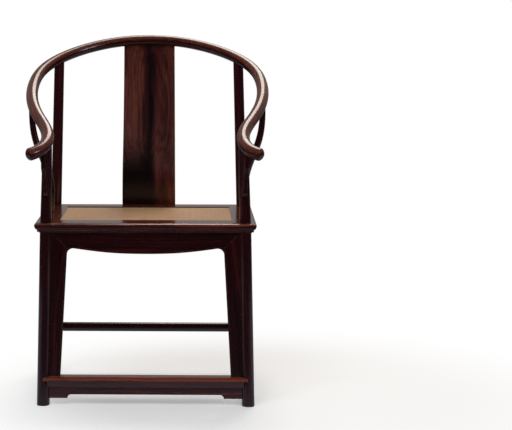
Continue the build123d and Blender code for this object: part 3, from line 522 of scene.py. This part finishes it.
def footrest_sections(s):
    """Sections of the tread and of the bar under it, as rows of (y, z), both open at the line
    where they meet.

    The tread's top falls to its front edge over a quarter ellipse, as feet wear it. The bar
    runs back under it in a straight slope, to a rounded foot.
    """
    low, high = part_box("footrest")
    rounding = 0.0015              # of the small edges
    worn = 0.020                   # how far in from the front the top starts to fall
    lip = 0.0026                   # from the front to the top of the bar
    foot_inset = 0.0155            # from the front to the middle of the bar's rounded foot
    foot = (0.007, 0.005)          # half sizes of that foot
    seam = high.z - s.tread
    fall = ellipse((low.y + worn, seam + rounding), worn, s.tread - rounding, 90, 180, 10)
    tread = [(high.y, seam), (high.y, high.z - rounding), (high.y - rounding, high.z), *fall,
             (low.y + rounding / 2, seam)]
    round_foot = ellipse((low.y + foot_inset, low.z + foot[1]), *foot, 200, 270, 5)
    bar = [(low.y + lip, seam - rounding / 2), *round_foot, (high.y - rounding, low.z),
           (high.y, low.z + rounding)]
    return np.array(tread), np.array(bar)


def worn_step(s):
    """Points and faces of the footrest: the tread's section carried along its whole length, and
    the bar's between the legs.

    Both sections stand at the inner sides of the legs, where they form one loop, and the
    tread's also at its own ends. Outside the loops the tread has its own flat underside.
    """
    tread, bar = footrest_sections(s)
    low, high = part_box("footrest")
    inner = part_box("footrest_apron")[1].x
    n, m = len(tread), len(bar)
    points = [np.insert(tread, 0, x, axis=1) for x in (low.x, -inner, inner, high.x)]
    points += [np.insert(bar, 0, x, axis=1) for x in (-inner, inner)]
    rows = np.arange(4 * n).reshape(4, n)
    below = 4 * n + np.arange(2 * m).reshape(2, m)
    loop = np.concatenate([rows[1:3, -1:], below, rows[1:3, :1]], axis=1)
    faces = grid_faces(4, n)
    faces += [[a, b, b + n, a + n] for a, b in rows[[0, 2]][:, [-1, 0]]]
    faces += np.stack([loop[0, :-1], loop[0, 1:], loop[1, 1:], loop[1, :-1]], axis=-1).tolist()
    faces += [loop[0, ::-1], loop[1], rows[0, ::-1], rows[3]]
    return np.concatenate(points), [[int(corner) for corner in face] for face in faces]


def sunk(x, y, sag):
    """Depth of the seat's hollow: sag times (1 - (x/a) to the 4th) times (1 - (y/b) to the
    4th), where x and y are taken from the opening's middle and a and b are its half sizes."""
    left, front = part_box("mat_strip_left")[1].x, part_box("mat_strip_front")[1].y
    right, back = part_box("mat_strip_right")[0].x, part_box("mat_strip_back")[0].y
    across = (2 * x - left - right) / (right - left)
    along = (2 * y - front - back) / (back - front)
    return sag * np.clip(1 - across ** 4, 0, 1) * np.clip(1 - along ** 4, 0, 1)


def net(s):
    """Points and faces of two sets of slanting cords, woven over and under each other.

    Each set is the lines x + y = c, or x - y = c, at equal steps of c, clipped to the box. A
    cord's middle rises and falls by half its thickness as the cosine of pi times the distance
    along it over the spacing, so it goes over one cord and under the next. Its skin is a
    six-sided tube: the middle plus its radius times (cosine of the angle across the cord, sine
    of the angle upwards).
    """
    low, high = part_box("seat_webbing")
    rings, sides = 72, 6
    a, b = (high.x - low.x) / 2, (high.y - low.y) / 2
    step = s.net * 2 ** 0.5
    reach = int((a + b) / step)
    number = np.arange(-reach, reach + 1)
    c = number * step
    x0, x1 = np.maximum(-a, c - b), np.minimum(a, c + b)
    long_enough = x1 - x0 > s.net
    number, c, x0, x1 = number[long_enough], c[long_enough], x0[long_enough], x1[long_enough]
    t = np.linspace(0, 1, rings)[None, :]
    x = x0[:, None] + (x1 - x0)[:, None] * t
    all_points = []
    for sign in (1, -1):
        y = sign * (c[:, None] - x)
        # crossing m of line n with the other set lies at x = (n + m) * step / 2
        phase = np.pi * (2 * x / step - number[:, None]) + (0 if sign > 0 else np.pi)
        wave = np.cos(phase) * np.cos(np.pi * number[:, None])
        x_here, y_here = x + (high.x + low.x) / 2, y + (high.y + low.y) / 2
        z = (high.z + low.z) / 2 + s.cord / 2 * wave - sunk(x_here, y_here, s.sag)
        middle = np.stack([x_here, y_here, z], axis=-1)[:, :, None, :]
        turn = np.linspace(0, 2 * np.pi, sides, endpoint=False)
        across = np.array([sign, 1.0, 0.0]) / 2 ** 0.5
        skin = np.cos(turn)[:, None] * across + np.sin(turn)[:, None] * np.array([0.0, 0.0, 1.0])
        all_points.append(middle + s.cord / 2 * skin)
    points = np.concatenate(all_points).reshape(-1, 3)
    cords = 2 * len(c)
    tube = grid_faces(rings, sides, wrap=True)
    # two quads close each six-sided end
    ends = np.array([[0, 1, 2, 3], [0, 3, 4, 5]])
    caps = np.concatenate([ends[:, ::-1], ends + (rings - 1) * sides])
    one = np.concatenate([tube, caps])
    faces = (one[None] + (np.arange(cords) * rings * sides)[:, None, None]).reshape(-1, 4)
    return points, faces.tolist()


# ---------------------------------------------------------------- studio

def lay_floor(s):
    """A disc of pale paper: a rim of points at the radius times the cosine and the sine of
    equal angles."""
    radius, sides = 2.6, 96
    turn = np.linspace(0, 2 * np.pi, sides, endpoint=False)
    rim = radius * np.stack([np.cos(turn), np.sin(turn), 0 * turn], axis=-1)
    mesh = bpy.data.meshes.new("floor")
    mesh.from_pydata(rim.tolist(), [], [list(range(sides))])
    mesh.materials.append(pale_paper("pale_paper", s))
    floor = bpy.data.objects.new("floor", mesh)
    bpy.context.scene.collection.objects.link(floor)


def hang_lamp(name, place, aim, size, power):
    """A rectangular softbox at a place, facing a point."""
    lamp = bpy.data.lights.new(name, "AREA")
    lamp.shape = "RECTANGLE"
    lamp.size, lamp.size_y = size
    lamp.energy = power
    holder = bpy.data.objects.new(name, lamp)
    holder.location = place
    holder.rotation_euler = (Vector(aim) - Vector(place)).to_track_quat("-Z", "Y").to_euler()
    bpy.context.scene.collection.objects.link(holder)
    return holder


def light_world(scene, s):
    """Even light for matt surfaces and white for the camera.

    Gloss sees it dim, and a little brighter high up behind the chair, as in a studio that is
    dark round the camera: its level goes by the sum of the heading's Y and Z.
    """
    world = bpy.data.worlds.new("studio")
    world.use_nodes = True
    tree = world.node_tree
    tree.nodes.clear()
    path = add(tree, "LightPath").outputs
    heading = add(tree, "SeparateXYZ", (add(tree, "TexCoord").outputs["Generated"],)).outputs
    both = add(tree, "Math", (heading["Y"], heading["Z"]), operation="ADD")
    behind = add(tree, "MapRange", (both, 0.2, 1.3, 0.02, 0.30), interpolation_type="SMOOTHSTEP")
    strength = add(tree, "Mix", (path["Is Glossy Ray"], s.ambient, behind))
    strength = add(tree, "Mix", (path["Is Camera Ray"], strength, 1.0))
    light = add(tree, "Background", {"Color": WHITE, "Strength": strength})
    add(tree, "OutputWorld", {"Surface": light})
    scene.world = world


def place_camera():
    """The camera, turned by azimuth, elevation and roll, at a distance from the point it faces.

    The lens centre is off the picture's middle, which the shifts give as shares of its width.
    """
    azimuth, elevation, roll = np.radians([1.50, 7.996, -0.064])
    distance = 4.348
    facing = np.array([-0.0054, -0.0094, 0.4552])
    focal = 1538.17                       # pixels
    centre = np.array([145.3, 229.91])    # pixels from the left and from the top
    back = np.array([np.sin(azimuth) * np.cos(elevation), -np.cos(azimuth) * np.cos(elevation),
                     np.sin(elevation)])
    level_right = np.array([np.cos(azimuth), np.sin(azimuth), 0.0])
    upward = np.cross(back, level_right)
    right = np.cos(roll) * level_right + np.sin(roll) * upward
    up = np.cos(roll) * upward - np.sin(roll) * level_right
    camera = bpy.data.cameras.new("camera")
    camera.sensor_width = SENSOR
    camera.lens = focal * SENSOR / PICTURE_WIDTH
    camera.shift_x = (PICTURE_WIDTH / 2 - centre[0]) / PICTURE_WIDTH
    camera.shift_y = (centre[1] - PICTURE_HEIGHT / 2) / PICTURE_WIDTH
    holder = bpy.data.objects.new("camera", camera)
    turn = Matrix(np.stack([right, up, back], axis=1).tolist()).to_4x4()
    holder.matrix_world = Matrix.Translation((facing + distance * back).tolist()) @ turn
    bpy.context.scene.collection.objects.link(holder)
    return holder


# ---------------------------------------------------------------- operators

class ARMCHAIR_OT_finish_woodwork(bpy.types.Operator):
    """Gives each rosewood member its own grain, along its own length"""

    bl_idname = "armchair.finish_woodwork"
    bl_label = "Finish woodwork"

    def execute(self, context):
        s = context.scene.armchair_wood
        members = sorted(name for name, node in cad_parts.items()
                         if node.material_slots[0].name.startswith("hardwood"))
        for number, name in enumerate(members):
            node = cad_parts[name]
            # these members are browner on upward faces: partly rubbed wear, partly painted light
            # from above
            reach = RUBBED_AND_TOP_LIT_REACH if name.startswith(RUBBED_AND_TOP_LIT) else None
            # the tone scale darkens the front apron as painted shade under the seat
            tone = next((tone for start, tone in TONE_AND_SHADE_SCALES.items() if name.startswith(start)), 1.0)
            node.material_slots[0].material = rosewood(
                f"waxed_rosewood_{name}", mesh_points(node), number, s, reach, tone)
        return {"FINISHED"}


class ARMCHAIR_OT_finish_splat(bpy.types.Operator):
    """Gives the splat its figured board"""

    bl_idname = "armchair.finish_splat"
    bl_label = "Finish splat"

    def execute(self, context):
        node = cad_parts["back_splat"]
        node.material_slots[0].material = figured_rosewood(
            "waxed_figured_rosewood", mesh_points(node), context.scene.armchair_wood)
        return {"FINISHED"}


class ARMCHAIR_OT_mould_seat_frame(bpy.types.Operator):
    """Gives the four seat rails their full rounded moulding, mitred at the corners"""

    bl_idname = "armchair.mould_seat_frame"
    bl_label = "Mould seat frame"

    def execute(self, context):
        s = context.scene.armchair_wood
        profile = moulding(s)
        for number, side in enumerate(("front", "right", "back", "left")):
            points, faces = mitred_rail(profile, number)
            # on the moulding the browner tone reaches the front faces too, as painted light from
            # the front
            wood = rosewood(f"waxed_rosewood_moulding_{side}", points,
                            MOULDING_NUMBER + number, s, MOULDED_TOP_LIT_REACH)
            new_piece(f"moulded_seat_rail_{side}", points, faces, wood,
                      f"seat_rail_{side}", edge=SHARP)
        return {"FINISHED"}


class ARMCHAIR_OT_wear_footrest(bpy.types.Operator):
    """Gives the footrest its worn tread, over a bar that runs between the legs"""

    bl_idname = "armchair.wear_footrest"
    bl_label = "Wear footrest"

    def execute(self, context):
        s = context.scene.armchair_wood
        points, faces = worn_step(s)
        # the footrest's tone scale is painted light from above and painted reflection of the floor
        wood = rosewood("waxed_rosewood_footrest", points, FOOTREST_NUMBER, s, MOULDED_TOP_LIT_REACH,
                        FOOTREST_LIGHT_SCALE)
        new_piece("worn_footrest", points, faces, wood, "footrest", edge=SHARP)
        return {"FINISHED"}


class ARMCHAIR_OT_weave_mat(bpy.types.Operator):
    """Lays the woven cane mat, sunk a little in the middle from use"""

    bl_idname = "armchair.weave_mat"
    bl_label = "Weave mat"

    def execute(self, context):
        s = context.scene.armchair_seat
        low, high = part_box("seat_mat")
        rows, columns = 73, 121
        x, y = np.meshgrid(np.linspace(low.x, high.x, columns), np.linspace(low.y, high.y, rows))
        z = high.z - sunk(x, y, s.sag)
        mat = new_piece("cane_mat", np.stack([x, y, z], axis=-1), grid_faces(rows, columns),
                        split_cane("woven_split_cane", s), "seat_mat")
        solid = mat.modifiers.new("Thickness", "SOLIDIFY")
        solid.thickness = high.z - low.z
        solid.offset = -1.0
        return {"FINISHED"}


class ARMCHAIR_OT_tie_net(bpy.types.Operator):
    """Ties the net of palm fibre cords that carries the mat"""

    bl_idname = "armchair.tie_net"
    bl_label = "Tie net"

    def execute(self, context):
        s = context.scene.armchair_seat
        points, faces = net(s)
        new_piece("palm_fibre_net", points, faces, palm_fibre("twisted_palm_fibre", s),
                  "seat_webbing")
        return {"FINISHED"}


class ARMCHAIR_OT_set_studio(bpy.types.Operator):
    """Sets the pale floor, the soft lamps, the world and the camera"""

    bl_idname = "armchair.set_studio"
    bl_label = "Set studio"

    def execute(self, context):
        scene = context.scene
        s = scene.armchair_studio
        lay_floor(s)
        middle = (0.0, 0.0, 0.6)
        high = hang_lamp("overhead_softbox", (0.45, 1.73, 3.5), middle, (1.4, 2.1), s.overhead)
        high.data.color = s.warm[:3]
        fill = hang_lamp("front_fill", (-0.5, -2.3, 2.9), middle, (2.6, 1.8), s.fill)
        fill.visible_glossy = False
        right = hang_lamp("right_strip", (1.8, -1.5, 1.6), middle, (0.6, 0.5), s.strip)
        right.data.color = s.cool[:3]
        right.visible_diffuse = False
        light_world(scene, s)
        scene.camera = place_camera()
        scene.view_settings.view_transform = "Standard"
        return {"FINISHED"}


class ARMCHAIR_PT_panel(bpy.types.Panel):
    """Lists the steps that dress the chair, and their settings"""

    bl_label = "Armchair"
    bl_idname = "ARMCHAIR_PT_panel"
    bl_space_type = "VIEW_3D"
    bl_region_type = "UI"
    bl_category = "Armchair"

    def draw(self, context):
        for step in STEPS:
            self.layout.operator(step.bl_idname)
        for group in (context.scene.armchair_wood, context.scene.armchair_seat,
                      context.scene.armchair_studio):
            for name in group.__annotations__:
                self.layout.prop(group, name)


STEPS = (ARMCHAIR_OT_finish_woodwork, ARMCHAIR_OT_finish_splat, ARMCHAIR_OT_mould_seat_frame,
         ARMCHAIR_OT_wear_footrest, ARMCHAIR_OT_weave_mat, ARMCHAIR_OT_tie_net,
         ARMCHAIR_OT_set_studio)
CLASSES = (WoodSettings, SeatSettings, StudioSettings, *STEPS, ARMCHAIR_PT_panel)


def register():
    for each in CLASSES:
        bpy.utils.register_class(each)
    bpy.types.Scene.armchair_wood = bpy.props.PointerProperty(type=WoodSettings)
    bpy.types.Scene.armchair_seat = bpy.props.PointerProperty(type=SeatSettings)
    bpy.types.Scene.armchair_studio = bpy.props.PointerProperty(type=StudioSettings)


def unregister():
    del bpy.types.Scene.armchair_wood
    del bpy.types.Scene.armchair_seat
    del bpy.types.Scene.armchair_studio
    for each in reversed(CLASSES):
        bpy.utils.unregister_class(each)


def main():
    register()
    bpy.ops.armchair.finish_woodwork()
    bpy.ops.armchair.finish_splat()
    bpy.ops.armchair.mould_seat_frame()
    bpy.ops.armchair.wear_footrest()
    bpy.ops.armchair.weave_mat()
    bpy.ops.armchair.tie_net()
    bpy.ops.armchair.set_studio()


if __name__ == "__main__":
    main()
